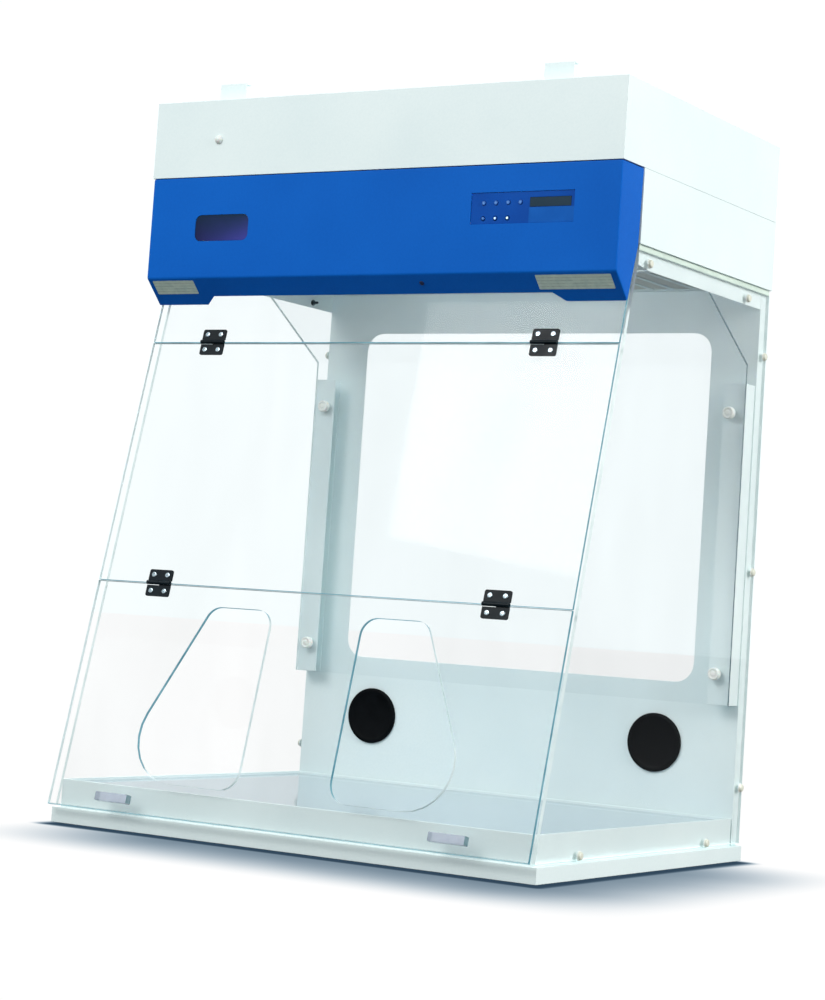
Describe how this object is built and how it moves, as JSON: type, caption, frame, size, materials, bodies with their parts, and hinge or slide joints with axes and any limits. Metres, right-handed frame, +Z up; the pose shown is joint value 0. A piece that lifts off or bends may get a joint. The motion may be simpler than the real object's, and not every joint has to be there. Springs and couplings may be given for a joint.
{
  "type": "bench-top filtered fume hood",
  "caption": "Bench-top recirculating fume hood with a blue front cover, clear walls, a folding clear sash with arm holes, rear baffle, fan and filter head.",
  "frame": {"origin": "centre of the overall box, on the surface that the feet stand on", "axes": "+X to the right seen from the front, +Y towards the rear, +Z up; the sash faces -Y"},
  "size_m": [0.8, 0.6646, 1.1125],
  "materials": {
    "white_steel": "satin powder coat",
    "blue_steel": "semi-gloss powder coat",
    "blue_panel": "smooth membrane panel",
    "clear_acrylic": "clear, polished",
    "work_surface": "gloss grey laminate",
    "black_rubber": "matte",
    "black_plastic": "satin",
    "smoked_lens": "gloss",
    "grey_foam": "matte closed-cell foam",
    "zinc_steel": "zinc plated",
    "filter_media": "matte fibre",
    "carbon_filter": "matte moulded cassette",
    "impeller_plastic": "satin",
    "white_plastic": "satin",
    "key_plastic": "satin",
    "lamp_lens": "translucent",
    "circuit_board": "solder mask",
    "display_glass": "liquid crystal display"
  },
  "bodies": {
    "hood": {"base_pan": "white_steel", "work_surface": "work_surface", "foot_front_left": "black_rubber", "foot_front_right": "black_rubber", "foot_rear_left": "black_rubber", "foot_rear_right": "black_rubber", "back_panel": "white_steel", "back_window": "clear_acrylic", "side_panel_left": "clear_acrylic", "side_panel_right": "clear_acrylic", "joint_strip_left": "grey_foam", "joint_strip_right": "grey_foam", "baffle": "clear_acrylic", "baffle_bracket_left": "white_steel", "baffle_bracket_right": "white_steel", "sash_top": "clear_acrylic", "hinge_upper_left_top": "black_plastic", "hinge_upper_right_top": "black_plastic", "head_body": "white_steel", "intake_grille": "white_steel", "prefilter": "filter_media", "fan_plate": "zinc_steel", "fan_motor": "zinc_steel", "motor_bridge": "zinc_steel", "power_inlet": "black_plastic", "filter_housing": "white_steel", "main_filter": "carbon_filter", "front_cover": "blue_steel", "status_window": "smoked_lens", "control_panel": "blue_panel", "display": "display_glass", "indicator_1": "lamp_lens", "indicator_2": "lamp_lens", "indicator_3": "lamp_lens", "control_board": "circuit_board", "lamp_batten": "white_plastic"},
    "sash_middle": {"sash_middle": "clear_acrylic", "hinge_upper_left_bottom": "black_plastic", "hinge_upper_right_bottom": "black_plastic", "hinge_lower_left_top": "black_plastic", "hinge_lower_right_top": "black_plastic"},
    "sash_lower": {"sash_lower": "clear_acrylic", "hinge_lower_left_bottom": "black_plastic", "hinge_lower_right_bottom": "black_plastic", "sash_grip_left": "clear_acrylic", "sash_grip_right": "clear_acrylic"},
    "filter_lid": {"filter_lid": "white_steel"},
    "fan_impeller": {"fan_impeller": "impeller_plastic"},
    "thumb_screw_low_left": {"thumb_screw_low_left": "white_plastic"},
    "thumb_screw_low_right": {"thumb_screw_low_right": "white_plastic"},
    "thumb_screw_high_left": {"thumb_screw_high_left": "white_plastic"},
    "thumb_screw_high_right": {"thumb_screw_high_right": "white_plastic"},
    "key_1": {"key_1": "key_plastic"},
    "key_2": {"key_2": "key_plastic"},
    "key_3": {"key_3": "key_plastic"},
    "key_4": {"key_4": "key_plastic"},
    "port_plug_left": {"port_plug_left": "black_rubber"},
    "port_plug_right": {"port_plug_right": "black_rubber"},
    "sample_plug": {"sample_plug": "white_plastic"}
  },
  "joints": [
    {"name": "sash_middle_swing", "type": "hinge", "parent": "hood", "child": "sash_middle", "pos_m": [0, -0.16282, 0.72068], "axis": [-1, 0, 0], "range_deg": [0, 90]},
    {"name": "sash_lower_swing", "type": "hinge", "parent": "sash_middle", "child": "sash_lower", "pos_m": [0, -0.24918, 0.35679], "axis": [-1, 0, 0], "range_deg": [0, 150]},
    {"name": "filter_lid_lift", "type": "slide", "parent": "hood", "child": "filter_lid", "axis": [0, 0, 1], "range_m": [0, 0.12]},
    {"name": "fan_spin", "type": "hinge", "parent": "hood", "child": "fan_impeller", "pos_m": [0, 0.20181, 0.886], "axis": [0, 0, 1], "continuous": true},
    {"name": "thumb_screw_low_left_turn", "type": "hinge", "parent": "hood", "child": "thumb_screw_low_left", "pos_m": [-0.3665, 0.27681, 0.278], "axis": [0, -1, 0], "continuous": true},
    {"name": "thumb_screw_low_right_turn", "type": "hinge", "parent": "hood", "child": "thumb_screw_low_right", "pos_m": [0.3665, 0.27681, 0.278], "axis": [0, -1, 0], "continuous": true},
    {"name": "thumb_screw_high_left_turn", "type": "hinge", "parent": "hood", "child": "thumb_screw_high_left", "pos_m": [-0.3665, 0.27681, 0.669], "axis": [0, -1, 0], "continuous": true},
    {"name": "thumb_screw_high_right_turn", "type": "hinge", "parent": "hood", "child": "thumb_screw_high_right", "pos_m": [0.3665, 0.27681, 0.669], "axis": [0, -1, 0], "continuous": true},
    {"name": "key_1_press", "type": "slide", "parent": "hood", "child": "key_1", "axis": [0, 1, 0], "range_m": [0, 0.0009], "stiffness_N_per_m": 400},
    {"name": "key_2_press", "type": "slide", "parent": "hood", "child": "key_2", "axis": [0, 1, 0], "range_m": [0, 0.0009], "stiffness_N_per_m": 400},
    {"name": "key_3_press", "type": "slide", "parent": "hood", "child": "key_3", "axis": [0, 1, 0], "range_m": [0, 0.0009], "stiffness_N_per_m": 400},
    {"name": "key_4_press", "type": "slide", "parent": "hood", "child": "key_4", "axis": [0, 1, 0], "range_m": [0, 0.0009], "stiffness_N_per_m": 400},
    {"name": "port_plug_left_pull", "type": "slide", "parent": "hood", "child": "port_plug_left", "axis": [0, -1, 0], "range_m": [0, 0.05]},
    {"name": "port_plug_right_pull", "type": "slide", "parent": "hood", "child": "port_plug_right", "axis": [0, -1, 0], "range_m": [0, 0.05]},
    {"name": "sample_plug_pull", "type": "slide", "parent": "hood", "child": "sample_plug", "axis": [0, -1, 0], "range_m": [0, 0.02]}
  ]
}
